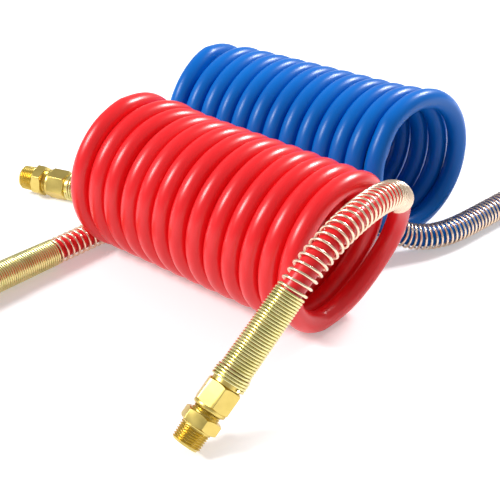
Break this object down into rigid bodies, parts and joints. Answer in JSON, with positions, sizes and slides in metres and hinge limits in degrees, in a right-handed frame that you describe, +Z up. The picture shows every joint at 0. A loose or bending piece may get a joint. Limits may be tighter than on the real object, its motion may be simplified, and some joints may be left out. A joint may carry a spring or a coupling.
{
  "type": "coiled air hose",
  "caption": "Self-storing coiled nylon air hoses in red and blue, lying side by side, with spring-guarded brass compression fittings and male pipe threads at the ends.",
  "frame": {"origin": "on the floor under the middle turn of the red coil, where that turn touches the floor", "axes": "+X along the red coil's axis from its rear end to its front end, +Z up, +Y towards the blue coil"},
  "size_m": [0.3253, 0.4472, 0.1066],
  "materials": {
    "red_nylon": "glossy extruded nylon, red all through",
    "blue_nylon": "glossy extruded nylon, blue all through",
    "brass": "bright machined brass",
    "inner_brass": "machined brass, inside the fitting",
    "plated_wire": "spring wire with yellow zinc plating"
  },
  "bodies": {
    "root": {"red_coil": "red_nylon", "blue_coil": "blue_nylon", "red_rear_lead": "red_nylon", "red_rear_spring_guard": "plated_wire", "red_rear_fitting_body": "brass", "red_rear_tube_insert": "inner_brass", "red_rear_ferrule": "inner_brass", "red_rear_nut": "brass", "blue_rear_lead": "blue_nylon", "blue_rear_spring_guard": "plated_wire", "blue_rear_fitting_body": "brass", "blue_rear_tube_insert": "inner_brass", "blue_rear_ferrule": "inner_brass", "blue_rear_nut": "brass"},
    "red_pull_end": {"red_front_lead": "red_nylon", "red_front_spring_guard": "plated_wire", "red_front_fitting_body": "brass", "red_front_tube_insert": "inner_brass", "red_front_ferrule": "inner_brass", "red_front_nut": "brass"},
    "blue_pull_end": {"blue_front_lead": "blue_nylon", "blue_front_spring_guard": "plated_wire", "blue_front_fitting_body": "brass", "blue_front_tube_insert": "inner_brass", "blue_front_ferrule": "inner_brass", "blue_front_nut": "brass"}
  },
  "joints": [
    {"name": "red_stretch", "type": "slide", "parent": "root", "child": "red_pull_end", "axis": [1, 0, 0], "range_m": [0, 1.5], "stiffness_N_per_m": 30, "deforming": ["red_coil"]},
    {"name": "blue_stretch", "type": "slide", "parent": "root", "child": "blue_pull_end", "axis": [0.9945, 0.1045, 0], "range_m": [0, 1.5], "stiffness_N_per_m": 30, "deforming": ["blue_coil"]}
  ]
}
